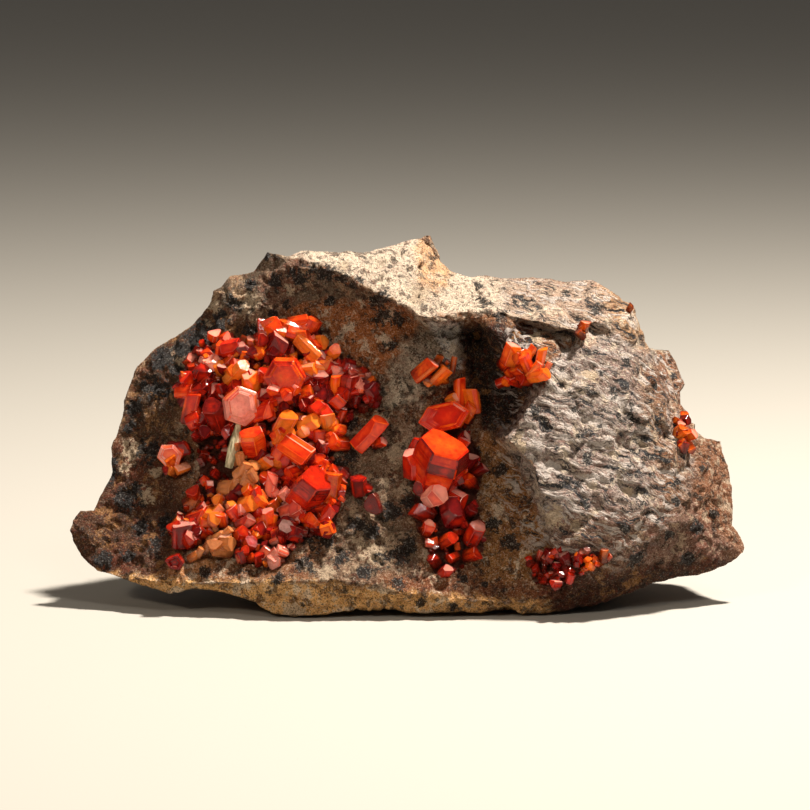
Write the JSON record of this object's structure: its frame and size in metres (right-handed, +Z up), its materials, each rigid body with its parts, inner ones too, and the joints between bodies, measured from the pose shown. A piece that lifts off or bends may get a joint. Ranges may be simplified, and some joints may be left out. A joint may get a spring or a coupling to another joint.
{
  "type": "vanadinite specimen",
  "caption": "Broken block of brown matrix rock with a crust and scattered groups of red to orange hexagonal vanadinite crystals on its front face.",
  "frame": {"origin": "on the floor, under the middle of the bounding box", "axes": "+X to the right as seen from the crystal face, +Y to the back, +Z up"},
  "size_m": [0.0676, 0.0358, 0.036],
  "materials": {
    "matrix_rock": "rough, mottled brown, tan and grey with black spots",
    "vanadinite_red": "glossy translucent red",
    "vanadinite_orange": "glossy translucent orange",
    "vanadinite_dark": "glossy dark red",
    "pale_blade": "dull tan"
  },
  "bodies": {
    "root": {"matrix": "matrix_rock", "main_cluster": "vanadinite_red", "far_left_crystals": "vanadinite_red", "hollow_crystal": "vanadinite_dark", "lone_prism": "vanadinite_red", "pink_topped_crystal": "vanadinite_dark", "disc_crystal": "vanadinite_dark", "upper_centre_crystals": "vanadinite_orange", "centre_column": "vanadinite_red", "upper_right_cluster": "vanadinite_orange", "pocket_crystal": "vanadinite_orange", "rim_crystal": "vanadinite_orange", "lower_right_druse": "vanadinite_dark", "right_edge_crystals": "vanadinite_orange", "pale_blade": "pale_blade"}
  },
  "joints": []
}
